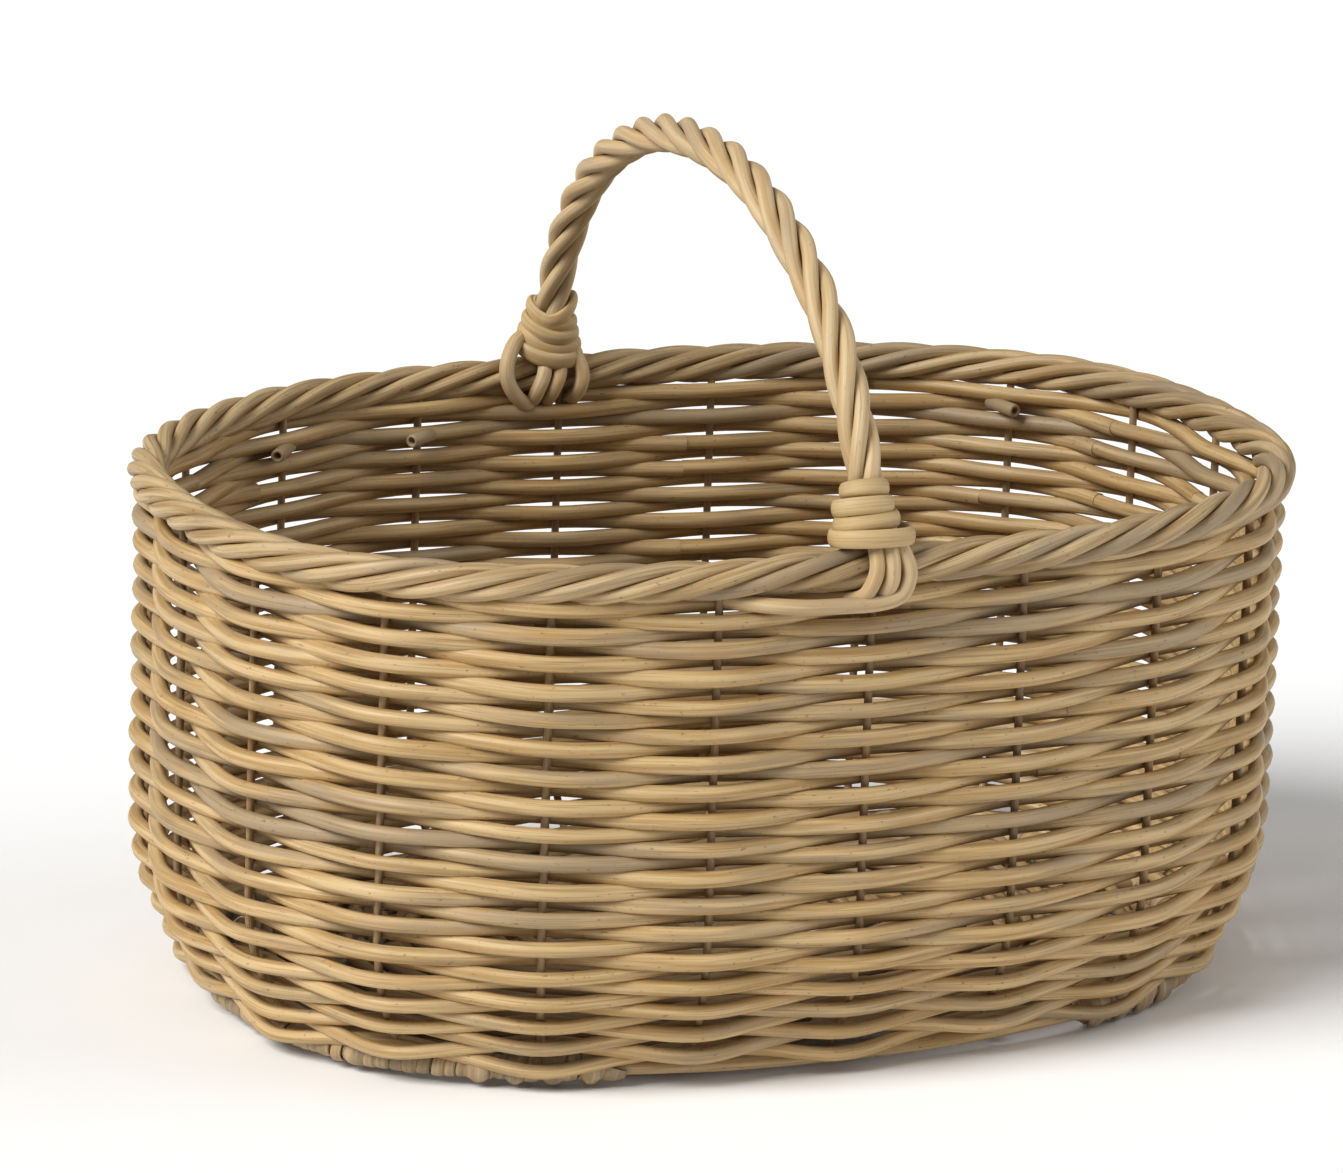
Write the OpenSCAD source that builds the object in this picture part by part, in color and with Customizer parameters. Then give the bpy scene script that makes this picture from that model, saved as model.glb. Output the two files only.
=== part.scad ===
// Egg collection basket: an oval basket in plain weave with a roped border
// and a fixed twisted handle across its middle.
// +X runs along the basket, +Y across it and +Z up. The origin is on the
// ground under the middle of the basket.

/* [Oval plan] */
// Half length of the oval that the border follows
border_half_length = 221; // [210:1:235]
// Half width of the oval that the border follows
border_half_width = 180.5; // [170:0.5:190]
// Squareness of the oval: 2 is an ellipse, more is boxier
oval_power = 2.46; // [2.2:0.02:2.7]
// How far the middle of the base sits towards -X from the border's middle
base_shift = 7; // [0:0.5:8]

/* [Wall] */
// Height of the middle of the border above the ground
border_height = 203.5; // [200:0.5:215]
// Number of upright stakes round the wall
stake_count = 20; // [20:20:20]
// Thickness of a stake
stake_d = 3.2; // [2.8:0.1:3.6]
// How far the wall's middle stands inside the border's middle
wall_setback = 2.4; // [2:0.2:4]
// Radius of the turn from the base up into the wall
turn_radius = 70; // [66:1:75]
// Height at which the wall becomes upright
turn_top = 64; // [62:1:66]
// Height at which the woven wall starts
weave_bottom = 11.8; // [11.6:0.1:12.2]
// Space under the border's middle that the weave leaves free
weave_top_gap = 8; // [7.8:0.1:10]

/* [Weavers] */
// Number of weaver rows at the full pitch
upper_rows = 25; // [24:1:25]
// Height that each upper row takes up
upper_pitch = 5.5; // [5.4:0.05:5.6]
// Number of weaver rows packed into the turn above the base
lower_rows = 10; // [9:1:10]
// Thickness of a weaver rod across the wall
weaver_w = 6; // [5.4:0.1:6]
// Free space between neighbouring rods
rod_gap = 0.3; // [0.2:0.05:0.4]

/* [Border] */
// Number of rods roped together round the border
border_strands = 5; // [5:1:5]
// Turns that each border rod makes on its way round
border_twists = 11; // [9:1:13]
// Thickness of a border rod
border_rod_d = 5.7; // [5.3:0.1:5.7]
// Distance from the border's middle to the middle of each border rod
border_rod_r = 4.9; // [4.9:0.05:5.2]
// Side of the square core inside the border
border_core_w = 2.7; // [2:0.1:2.7]

/* [Handle] */
// Rise of the handle's middle line above the border
handle_rise = 128; // [115:1:140]
// Thickness of a handle strand
strand_d = 6; // [5.5:0.1:6.1]
// Distance from the handle's middle line to the middle of each strand
strand_r = 5.2; // [5.2:0.05:5.6]
// Turns that the strands make from one foot to the other
handle_twists = 4.5; // [4:0.5:7]
// Thickness of the bow inside the handle
bow_d = 3.4; // [2.5:0.1:3.6]
// How far the handle stands towards -X from the border's middle
handle_shift = 4.5; // [0:0.5:8]
// Number of turns in the binding at the front foot of the handle
front_neck_turns = 4; // [4:1:5]
// Number of turns in the binding at the back foot of the handle
back_neck_turns = 5; // [4:1:5]
// Height of one turn of the front binding
front_turn_h = 6.4; // [5:0.1:6.4]
// Height of one turn of the back binding
back_turn_h = 5.7; // [5:0.1:6.4]
// Thickness of the neck binding's cane
neck_cane_t = 1.8; // [1.5:0.1:2.2]

/* [Base] */
// Width of the frame rod under the wall
frame_w = 6.6; // [6:0.1:7]
// Distance from the wall's upright middle line in to the frame's middle
frame_setback = 21; // [20:0.5:22]
// Thickness of the flat cane wrapped round the ends of the frame
wrap_t = 1.1; // [1:0.1:1.2]
// Number of flat cane wraps at each end of the frame
flat_wraps = 30; // [24:2:32]
// Number of deep wraps, which the basket stands on, on either side of them
deep_wraps = 4; // [3:1:5]
// How far the deep wraps reach below the flat ones
foot_drop = 4; // [3:0.5:4.5]
// How far both end bindings sit round from the ends of the oval
binding_shift = 9; // [0:1:12]
// Rounds of rod woven into the base
base_rounds = 20; // [16:1:20]
// Width of a base rod
base_rod_w = 5.2; // [4.5:0.1:5.6]

/* [Hidden] */
$fn = 24;
row_count = upper_rows + lower_rows;
function row_name(k) = str("weaver_row_", k < 9 ? "0" : "", k + 1);

// ---- oval and its length ----
function signed_pow(v, e) = sign(v) * pow(abs(v), e);
// Point of an oval with half axes a and b at angle t
function oval(a, b, t) = [a * signed_pow(cos(t), 2 / oval_power),
                          b * signed_pow(sin(t), 2 / oval_power)];
oval_steps = 720;
oval_pts = [for (i = [0:oval_steps])
    oval(border_half_length, border_half_width, i * 360 / oval_steps - 90)];
oval_run = [for (i = 0, s = 0; i <= oval_steps;
                 s = s + (i < oval_steps ? norm(oval_pts[i + 1] - oval_pts[i]) : 0),
                 i = i + 1) s];
round_length = oval_run[oval_steps];
run_x = [for (i = [0:oval_steps]) [oval_run[i], oval_pts[i][0]]];
run_y = [for (i = [0:oval_steps]) [oval_run[i], oval_pts[i][1]]];
function wrapped(s) = s - round_length * floor(s / round_length);
// Point at distance s along the oval, from the middle of the front
function along(s) = let (w = wrapped(s)) [lookup(w, run_x), lookup(w, run_y)];
// Outward direction there
normal_reach = 4;
function outward(s) = let (d = along(s + normal_reach) - along(s - normal_reach))
    [d[1], -d[0]] / norm(d);
function outward_angle(s) = let (n = outward(s)) atan2(n[1], n[0]);
stake_step = round_length / stake_count;

// ---- wall profile ----
turn_angle = asin((turn_top - weave_bottom) / turn_radius);
turn_length = turn_radius * turn_angle * PI / 180;
weave_top = border_height - weave_top_gap;
wall_length = turn_length + weave_top - turn_top;
lower_pitch = (wall_length - upper_rows * upper_pitch) / lower_rows;
// Slope of the wall from upright at a distance l up from its start
function slope_at(l) = l < turn_length ? turn_angle - l / turn_radius * 180 / PI : 0;
function height_at(l) = l < turn_length
    ? turn_top - turn_radius * sin(slope_at(l)) : turn_top + l - turn_length;
// How far the wall has come in from its upright part
function setback_at(l) = wall_setback + turn_radius * (1 - cos(slope_at(l)));
function row_start(k) = k < lower_rows ? k * lower_pitch
    : lower_rows * lower_pitch + (k - lower_rows) * upper_pitch;
// The wall leans a little, from the base's middle to the border's
function lean_at(z) = -base_shift * (1 - z / border_height);
lean_angle = atan(base_shift / border_height);
module on_base() { translate([-base_shift, 0, 0]) children(); }

// ---- ring with a wavy or plain middle line, as a flat band ----
ring_points_per_step = 4;
function ring_outline(setback, amp, sign_, side) =
    [for (i = [0:stake_count * ring_points_per_step - 1])
        let (s = i * stake_step / ring_points_per_step,
             w = sign_ * amp * cos(180 * i / ring_points_per_step))
        along(s) + outward(s) * (w + side - setback)];
module ring_band(setback, width, z, height, amp = 0, sign_ = 1) {
    outer = ring_outline(setback, amp, sign_, width / 2);
    inner = ring_outline(setback, amp, sign_, -width / 2);
    n = len(outer);
    translate([0, 0, z]) linear_extrude(height)
        polygon(concat(outer, inner), paths = [[for (i = [0:n - 1]) i],
                                               [for (i = [0:n - 1]) n + i]]);
}

// ---- swept rod: rings of points joined into one closed skin ----
// rings is a list of rings with the same number of points. A closed rod
// joins its last ring to its first, and an open one has flat ends.
function ring_at(centre, u, v, ru, rv, sides) =
    [for (j = [0:sides - 1]) let (a = 360 * (j + 0.5) / sides)
        centre + u * ru * cos(a) + v * rv * sin(a)];
module skin(rings, closed) {
    n = len(rings);
    m = len(rings[0]);
    spans = closed ? n : n - 1;
    sides = [for (i = [0:spans - 1]) for (j = [0:m - 1])
        let (a = i * m + j, b = i * m + (j + 1) % m,
             c = ((i + 1) % n) * m + j, d = ((i + 1) % n) * m + (j + 1) % m)
        each [[a, b, d], [a, d, c]]];
    caps = closed ? [] : [[for (j = [m - 1:-1:0]) j],
                          [for (j = [0:m - 1]) (n - 1) * m + j]];
    polyhedron([for (r = rings) each r], concat(sides, caps), convexity = 10);
}

// ---- base ----
wrap_gap = 0.1;
wrap_h = weave_bottom - wrap_gap - foot_drop;
frame_z = foot_drop + wrap_t + wrap_gap;
frame_h = wrap_h - 2 * (wrap_t + wrap_gap);
frame_set = wall_setback + frame_setback;
module base_frame() {
    color("tan") on_base() ring_band(frame_set, frame_w, frame_z, frame_h);
}

stick_w = 6;
stick_h = 2.4;
stick_end_gap = 4;
cross_z = foot_drop + 1.6;
long_z = cross_z + stick_h + 0.2;
stick_set = frame_set + frame_w / 2 + stick_end_gap;
function stick_end(k) = along(k * stake_step) - outward(k * stake_step) * stick_set;
side_sticks = 3;
module base_cross_sticks() {
    color("peru") on_base() for (k = [-side_sticks:side_sticks]) {
        p = stick_end(k);
        translate([p[0] - stick_w / 2, p[1], cross_z]) cube([stick_w, -2 * p[1], stick_h]);
    }
}
quarter = stake_count / 4;
module base_long_sticks() {
    color("peru") on_base() for (k = [quarter - 1:quarter + 1]) {
        p = stick_end(k);
        translate([-p[0], p[1] - stick_w / 2, long_z]) cube([2 * p[0], stick_w, stick_h]);
    }
}

base_weave_z = long_z + stick_h + 0.2;
base_weave_h = 3.6;
base_weave_start = 41.5;
base_round_pitch = 6.2;
base_ring_points = 40;
module base_weave() {
    color("burlywood") on_base() for (r = [0:base_rounds - 1]) {
        set = base_weave_start + r * base_round_pitch;
        outer = [for (i = [0:base_ring_points - 1])
            oval(border_half_length - set + base_rod_w / 2,
                 border_half_width - set + base_rod_w / 2, i * 360 / base_ring_points)];
        inner = [for (i = [0:base_ring_points - 1])
            oval(border_half_length - set - base_rod_w / 2,
                 border_half_width - set - base_rod_w / 2, i * 360 / base_ring_points)];
        translate([0, 0, base_weave_z]) linear_extrude(base_weave_h)
            polygon(concat(outer, inner),
                    paths = [[for (i = [0:base_ring_points - 1]) i],
                             [for (i = [0:base_ring_points - 1]) base_ring_points + i]]);
    }
}

wrap_len = 7.4;
wrap_step = 10.6;
deep_len = 11;
deep_step = 15.9;
hole_w = frame_w + 0.6;
wrap_w = hole_w + 2 * wrap_t;
// One wrap at distance s along the frame. A deep one bulges down to the ground.
module frame_wrap(s, len, drop) {
    p = along(s) - outward(s) * frame_set;
    translate([p[0], p[1], 0]) rotate([0, 0, outward_angle(s)]) difference() {
        translate([-wrap_w / 2, 0, foot_drop]) rotate([90, 0, 90]) linear_extrude(wrap_w)
            polygon([[-len / 2, 0], [-len / 4, -drop], [len / 4, -drop], [len / 2, 0],
                     [len / 2, wrap_h], [-len / 2, wrap_h]]);
        translate([-hole_w / 2, -len, foot_drop + wrap_t])
            cube([hole_w, 2 * len, wrap_h - 2 * wrap_t]);
    }
}
module foot_binding(middle) {
    color("wheat") on_base() {
        for (i = [0:flat_wraps - 1])
            frame_wrap(middle + (i - (flat_wraps - 1) / 2) * wrap_step, wrap_len, 0);
        for (side = [-1, 1]) for (i = [0:deep_wraps - 1])
            frame_wrap(middle + side * (flat_wraps / 2 * wrap_step + (i + 0.5) * deep_step),
                       deep_len, foot_drop);
    }
}
module right_foot_binding() { foot_binding(round_length / 4 + binding_shift); }
module left_foot_binding() { foot_binding(3 * round_length / 4 + binding_shift); }

// ---- stakes ----
stake_top = border_height - border_rod_r - border_rod_d / 2 - 0.3;
module stake(s) {
    p = along(s) - outward(s) * wall_setback;
    translate([p[0], p[1], 0]) rotate([0, lean_angle, 0]) rotate([0, 0, outward_angle(s)]) {
        translate([0, 0, turn_top]) cylinder(d = stake_d, h = stake_top - turn_top);
        translate([-turn_radius, 0, turn_top]) rotate([-90, 0, 0])
            rotate_extrude(angle = turn_angle) translate([turn_radius, 0]) circle(d = stake_d);
    }
}
module side_stakes() {
    color("sienna") on_base() for (k = [0:stake_count - 1]) stake(k * stake_step);
}

// ---- weaver rows ----
// Each row passes outside one stake and inside the next, and the row above
// does the opposite.
module weaver_row(k) {
    l0 = row_start(k);
    l1 = row_start(k + 1);
    mid = (l0 + l1) / 2;
    z0 = height_at(l0);
    rod_h = height_at(l1) - z0 - rod_gap;
    slope = slope_at(mid);
    amp = weaver_w / 2 + stake_d / 2 / cos(slope) + rod_h / 2 * tan(slope) + rod_gap;
    color(k % 3 == 0 ? "tan" : k % 3 == 1 ? "burlywood" : "wheat")
        translate([lean_at(height_at(mid)), 0, 0])
            ring_band(setback_at(mid), weaver_w, z0 + rod_gap / 2, rod_h, amp, k % 2 == 0 ? 1 : -1);
}

// Three cut rod ends that stand out inside the back wall
butt_d = 6.2;
butt_bore = 2.4;
butt_len = 20;
butt_z = [187.5, 183.5, 189];
butt_steps = [12.1, 11, 7];
module weaver_butt_ends() {
    inside = wall_setback + stake_d / 2 + weaver_w + 2 * rod_gap + butt_d / 2;
    color("peru") for (i = [0:2]) {
        s = butt_steps[i] * stake_step;
        p = along(s) - outward(s) * inside;
        z = butt_z[i];
        translate([p[0] + lean_at(z), p[1], z]) rotate([0, 0, outward_angle(s)]) rotate([90, 0, 0])
            difference() {
                cylinder(d = butt_d, h = butt_len, center = true);
                translate([0, 0, -butt_len]) cylinder(d = butt_bore, h = 2 * butt_len);
            }
    }
}

// ---- border ----
module border_core() {
    color("sienna") ring_band(0, border_core_w, border_height - border_core_w / 2, border_core_w);
}
border_rings = 9 * border_twists;
rod_sides = 6;
module border_rod(k) {
    color(k % 2 == 0 ? "tan" : "burlywood") skin(
        [for (i = [0:border_rings - 1])
            let (s = i * round_length / border_rings,
                 turn = 360 * (k / border_strands + border_twists * i / border_rings),
                 p = along(s), n = outward(s), u = [n[0], n[1], 0], v = [0, 0, 1])
            ring_at([p[0], p[1], border_height] + border_rod_r * (u * cos(turn) + v * sin(turn)),
                    u, v, border_rod_d / 2, border_rod_d / 2, rod_sides)], true);
}

// ---- handle ----
// Middle line of the handle, from the front foot at t = 0 to the back at 180
function arch(t) = [-handle_shift, -border_half_width * cos(t), border_height + handle_rise * sin(t)];
function arch_out(t) = let (d = [0, border_half_width * sin(t), handle_rise * cos(t)])
    [0, -d[2], d[1]] / norm(d);
loop_inner = border_rod_r + border_rod_d / 2 + 0.2;
loop_t = 1.9;
loop_w = 5;
loop_r = loop_inner + loop_t / 2;
neck_from = 8;
turn_gap = 0.1;
function arch_angle(rise) = asin(rise / handle_rise);
arch_steps = 56;
side_dir = [1, 0, 0];
// A strand starts inside the basket, passes under the border, rises outside
// it into the rope, and does the same at the other foot.
loop_x = [-10.3, -4.8, 4.8, 10.3];
loop_steps = 9;
loop_start_angle = 50;
loop_end_angle = 30;
function loop_ring(x, foot, a) =
    let (dir = [0, foot * cos(a), sin(a)])
    ring_at([x - handle_shift, foot * border_half_width, border_height] + dir * loop_r,
            dir, side_dir, loop_t / 2, loop_w / 2, 8);
loop_span = 180 + loop_start_angle + loop_end_angle;
strand_from = arch_angle(neck_from + 5);
function strand_ring(k, t) =
    let (turn = 45 + 90 * k + 360 * handle_twists * (t - strand_from) / (180 - 2 * strand_from),
         n = arch_out(t))
    ring_at(arch(t) + strand_r * (n * cos(turn) + side_dir * sin(turn)),
            n, side_dir, strand_d / 2, strand_d / 2, 8);
// The order in which the four strands part at each foot
front_slot = [2, 3, 1, 0];
back_slot = [1, 0, 2, 3];
module handle_strand(k) {
    front = [for (i = [0:loop_steps])
        loop_ring(loop_x[front_slot[k]], -1,
                  180 - loop_start_angle + i * loop_span / loop_steps)];
    rope = [for (i = [0:arch_steps])
        strand_ring(k, strand_from + i * (180 - 2 * strand_from) / arch_steps)];
    back = [for (i = [0:loop_steps])
        loop_ring(loop_x[back_slot[k]], 1,
                  loop_end_angle - i * loop_span / loop_steps)];
    color(k % 2 == 0 ? "burlywood" : "wheat") skin(concat(front, rope, back), false);
}
bow_from = arch_angle(neck_from);
bow_steps = 30;
module handle_bow() {
    color("sienna") skin([for (i = [0:bow_steps])
        let (t = bow_from + i * (180 - 2 * bow_from) / bow_steps)
        ring_at(arch(t), arch_out(t), side_dir, bow_d / 2, bow_d / 2, 8)], false);
}

// Flat cane wound round the foot of the handle, wider towards the border
neck_bore = strand_r + strand_d / 2 + 0.4;
neck_flare = 1.6;
module neck_binding(foot, turns, turn_h) {
    color("wheat") for (i = [0:turns - 1]) {
        rise = neck_from + i * (turn_h + turn_gap);
        t = arch_angle(rise + turn_h / 2);
        bore = neck_bore + neck_flare * (turns - 1 - i);
        translate([-handle_shift, foot * border_half_width * cos(t), border_height + rise])
            difference() {
                cylinder(r = bore + neck_cane_t, h = turn_h, $fn = 48);
                translate([0, 0, -1]) cylinder(r = bore, h = turn_h + 2, $fn = 48);
            }
    }
}
module front_neck_binding() { neck_binding(-1, front_neck_turns, front_turn_h); }
module back_neck_binding() { neck_binding(1, back_neck_turns, back_turn_h); }

base_frame();
base_cross_sticks();
base_long_sticks();
base_weave();
left_foot_binding();
right_foot_binding();
side_stakes();
for (k = [0:row_count - 1]) weaver_row(k);
weaver_butt_ends();
border_core();
for (k = [1:border_strands]) border_rod(k);
handle_bow();
for (k = [1:4]) handle_strand(k - 1);
front_neck_binding();
back_neck_binding();
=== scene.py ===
"""Egg collection basket: its rods, stakes, border, handle and bindings, made round the CAD frame."""
import math

import bmesh
import bpy
import numpy as np
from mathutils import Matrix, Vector


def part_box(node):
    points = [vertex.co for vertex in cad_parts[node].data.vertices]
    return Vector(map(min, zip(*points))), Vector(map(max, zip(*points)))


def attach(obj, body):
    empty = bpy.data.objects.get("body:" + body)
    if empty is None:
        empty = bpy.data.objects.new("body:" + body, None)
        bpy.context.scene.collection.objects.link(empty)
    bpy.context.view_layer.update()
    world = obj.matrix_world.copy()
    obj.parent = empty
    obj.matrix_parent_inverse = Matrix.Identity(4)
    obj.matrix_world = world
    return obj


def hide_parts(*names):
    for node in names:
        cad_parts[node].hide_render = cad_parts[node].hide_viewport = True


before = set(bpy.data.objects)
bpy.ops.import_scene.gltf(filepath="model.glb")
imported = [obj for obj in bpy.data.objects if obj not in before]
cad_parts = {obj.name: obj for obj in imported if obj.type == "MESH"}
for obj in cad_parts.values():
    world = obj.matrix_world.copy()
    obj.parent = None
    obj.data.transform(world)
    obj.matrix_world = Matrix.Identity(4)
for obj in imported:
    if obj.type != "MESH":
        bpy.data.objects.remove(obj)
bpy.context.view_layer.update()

# ---------------------------------------------------------------- sizes, in metres
TAU = 2 * math.pi
OVAL_POWER = 2.46            # 2 is an ellipse, more is boxier
STAKES = 20
STAKE_R = 0.0016
WALL_SETBACK = 0.0024        # how far the upright wall stands inside the border's middle
TURN_RADIUS = 0.070          # turn from the base up into the wall
TURN_TOP = 0.064             # height at which the wall is upright
ROD_R = 0.00323              # a weaver rod of the upright wall
LOW_ROD_R = 0.0027           # a weaver rod of the lowest row
PACKED_ROWS = 12             # rows over which rods grow from the lowest one's size to full size
SPREAD_ROWS = 3              # lowest rows, which stand out in front of the base's frame
LOW_OUT = 0.0018             # how far the lowest one does, square to the wall
LOW_BULGE = 0.0020           # how much further where it passes outside a stake
LOW_PUSH = 0.0032            # and how much further level with the ground
JOINT_LAP = 0.0003           # length by which two rods of a row overlap at a joint
BORDER_RODS = 5
BORDER_TWISTS = 11           # times that the border's rods go round its core
BORDER_ROD_R = 0.00288
BORDER_LAY_R = 0.0050        # from the border's middle to the middle of each of its rods
BORDER_CORE_R = 0.0026
STRANDS = 4
STRAND_R = 0.0031
STRAND_LAY_R = 0.0047        # from the handle's middle line to the middle of each strand
HANDLE_TWISTS = 4.5          # turns that the strands make from foot to foot
HANDLE_BOW_R = 0.0022
FRAME_ROD_R = 0.0030
STICK_R = 0.0025             # a stick of the base
BASE_ROD_R = 0.0024          # a rod woven round the base's sticks
BASE_ROUNDS = 22
CUT_END_R, CUT_BORE_R, CUT_LENGTH = 0.0028, 0.0013, 0.0190

core_low, core_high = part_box("border_core")
core_half = (core_high.z - core_low.z) / 2
BORDER_Z = (core_high.z + core_low.z) / 2
HALF_LENGTH = core_high.x - core_half
HALF_WIDTH = core_high.y - core_half
bow_low, bow_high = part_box("handle_bow")
HANDLE_X = (bow_low.x + bow_high.x) / 2
HANDLE_RISE = bow_high.z - BORDER_Z - 0.0001
frame_low, frame_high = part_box("base_frame")
FRAME_HALF_W = 0.0033
FRAME_SETBACK = HALF_LENGTH - (frame_high.x - frame_low.x) / 2 + FRAME_HALF_W
FRAME_Z = (frame_low.z + frame_high.z) / 2
BASE_X = (frame_low.x + frame_high.x) / 2
BASE_Z = FRAME_Z + 0.0038
ROW_NODES = sorted(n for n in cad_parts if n.startswith("weaver_row_"))


def middle_z(node):
    """Height of the middle of a CAD node."""
    low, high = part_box(node)
    return (low.z + high.z) / 2


# ---------------------------------------------------------------- oval and wall
def signed_power(v, e):
    """Power of the size of v, with v's sign."""
    return np.sign(v) * np.abs(v) ** e


class Oval:
    """A boxy oval, addressed by the distance along it from the middle of its front."""

    def __init__(self, half_length, half_width, steps=2880):
        t = np.linspace(0, TAU, steps + 1) - TAU / 4
        self.x = half_length * signed_power(np.cos(t), 2 / OVAL_POWER)
        self.y = half_width * signed_power(np.sin(t), 2 / OVAL_POWER)
        lengths = np.hypot(np.diff(self.x), np.diff(self.y))
        self.run = np.concatenate([[0], np.cumsum(lengths)])
        self.length = self.run[-1]

    def at(self, s):
        """Points (x, y) at distances s."""
        w = np.mod(s, self.length)
        return np.stack([np.interp(w, self.run, self.x), np.interp(w, self.run, self.y)], -1)

    def outward(self, s, reach=0.004):
        """Directions (x, y) square to the oval at distances s."""
        d = self.at(np.asarray(s) + reach) - self.at(np.asarray(s) - reach)
        n = np.stack([d[..., 1], -d[..., 0]], -1)
        return n / np.linalg.norm(n, axis=-1, keepdims=True)


def eased(v):
    """0 below 0, 1 above 1 and smooth between."""
    v = np.clip(v, 0, 1)
    return v * v * (3 - 2 * v)


border = Oval(HALF_LENGTH, HALF_WIDTH)
STEP = border.length / STAKES
CROWD_AT = -0.5          # front gap that the stakes close up on, in stakes from the front one
CROWD = 0.0045           # how far they move towards it
LOOSE = 0.0015           # how far the other stakes stand from their even places at most


def stake_places():
    """Where the stakes stand along the oval: not quite evenly, and closer round one front gap."""
    k = np.arange(STAKES)
    away = np.mod(k - CROWD_AT + STAKES / 2, STAKES) - STAKES / 2
    near = 1 - eased((np.abs(away) - 2.5) / 2.5)
    loose = np.random.default_rng(60).uniform(-LOOSE, LOOSE, STAKES)
    return k * STEP - CROWD * near * np.tanh(away / 0.8) + loose * (1 - near)


STAKE_PLACES = stake_places()


def stakes_passed(s):
    """How many stakes lie between the front one and s, with parts of a step between them."""
    places = np.concatenate([STAKE_PLACES[-1:] - border.length, STAKE_PLACES,
                             STAKE_PLACES[:2] + border.length])
    return np.interp(np.mod(s, border.length), places, np.arange(-1, STAKES + 2))


def wall_slope(z):
    """How far the wall leans out from upright at a height, in radians."""
    return np.arcsin(np.clip((TURN_TOP - z) / TURN_RADIUS, 0, 1))


def wall_point(s, z, out=0.0):
    """Point on the wall's middle surface at height z, moved outwards square to the wall."""
    slope = wall_slope(z)
    setback = WALL_SETBACK + TURN_RADIUS * (1 - np.cos(slope))
    xy = border.at(s) + border.outward(s) * (out * np.cos(slope) - setback)[..., None]
    lean = BASE_X * (1 - z / BORDER_Z)
    return np.stack([xy[..., 0] + lean, xy[..., 1], z - out * np.sin(slope)], -1)


def smooth_noise(seed, where, spacing):
    """Smooth random values from -1 to 1 along a line, with one knot every `spacing`."""
    count = 997
    knots = np.random.default_rng(seed).uniform(-1, 1, count)
    u = np.asarray(where, float) / spacing + 300
    i = np.floor(u).astype(int)
    f = eased(u - i)
    return knots[i % count] * (1 - f) + knots[(i + 1) % count] * f


def wandering(own, s, spacing):
    """Smooth noise with a seed drawn from a rod's own generator."""
    return smooth_noise(own.integers(1 << 30), s, spacing)


# ---------------------------------------------------------------- node trees
class Link:
    """A node's output that arithmetic can be written on."""

    def __init__(self, graph, socket):
        self.graph, self.socket = graph, socket

    def maths(self, operation, *values):
        return self.graph.node("ShaderNodeMath", {"operation": operation}, dict(enumerate(values)))

    def __add__(self, other):
        return self.maths("ADD", self, other)

    def __radd__(self, other):
        return self.maths("ADD", other, self)

    def __sub__(self, other):
        return self.maths("SUBTRACT", self, other)

    def __rsub__(self, other):
        return self.maths("SUBTRACT", other, self)

    def __mul__(self, other):
        return self.maths("MULTIPLY", self, other)

    def __rmul__(self, other):
        return self.maths("MULTIPLY", other, self)

    def between(self, low, high):
        """0 below low, 1 above high and smooth between."""
        return self.graph.node(
            "ShaderNodeMapRange", {"interpolation_type": "SMOOTHSTEP"},
            {"Value": self, "From Min": low, "From Max": high})


class Graph:
    """A node tree that nodes are added to by type, settings and socket values."""

    def __init__(self, tree):
        self.tree = tree

    def node(self, kind, settings=None, sockets=None, out=0):
        made = self.tree.nodes.new(kind)
        for name, value in (settings or {}).items():
            setattr(made, name, value)
        for key, value in (sockets or {}).items():
            if isinstance(value, Link):
                self.tree.links.new(value.socket, made.inputs[key])
            else:
                made.inputs[key].default_value = value
        return Link(self, made.outputs[out])

    def also(self, link, out):
        """Another output of the node that a link comes from."""
        return Link(self, link.socket.node.outputs[out])

    def mix(self, factor, a, b):
        made = self.node("ShaderNodeMix", {"data_type": "RGBA"}, {0: factor, 6: a, 7: b})
        return self.also(made, 2)

    def scaled(self, vector, factors):
        return self.node("ShaderNodeVectorMath", {"operation": "MULTIPLY"}, {0: vector, 1: factors})

    def noise(self, vector, detail=2.0, roughness=0.5):
        return self.node("ShaderNodeTexNoise", None,
                         {"Vector": vector, "Scale": 1.0, "Detail": detail, "Roughness": roughness})


# ---------------------------------------------------------------- rods along paths
def rod(points, radius, tone, seed, side=None):
    """The middle line of one rod, with its thickness, colour and a number of its own."""
    n = len(points)
    lengths = np.linalg.norm(np.diff(points, axis=0), axis=1)
    return {
        "points": np.asarray(points, float),
        "thick": np.broadcast_to(radius, n).astype(float),
        "tone": np.broadcast_to(tone, n).astype(float),
        "run": np.concatenate([[0], np.cumsum(lengths)]) + 3.71 * seed,
        "side": np.zeros((n, 3)) if side is None else np.asarray(side, float),
    }


def rods_mesh(name, rods):
    """Loose chains of edges, one chain for each rod, that carry the rods' values on their points."""
    points = np.concatenate([r["points"] for r in rods])
    edges, start = [], 0
    for r in rods:
        n = len(r["points"])
        edges += [(start + i, start + i + 1) for i in range(n - 1)]
        start += n
    mesh = bpy.data.meshes.new(name)
    mesh.from_pydata(points.tolist(), edges, [])
    for key in ("thick", "tone", "run"):
        values = np.concatenate([r[key] for r in rods])
        mesh.attributes.new(key, "FLOAT", "POINT").data.foreach_set("value", values)
    sides = np.concatenate([r["side"] for r in rods])
    mesh.attributes.new("side", "FLOAT_VECTOR", "POINT").data.foreach_set("vector", sides.ravel())
    return mesh


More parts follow.
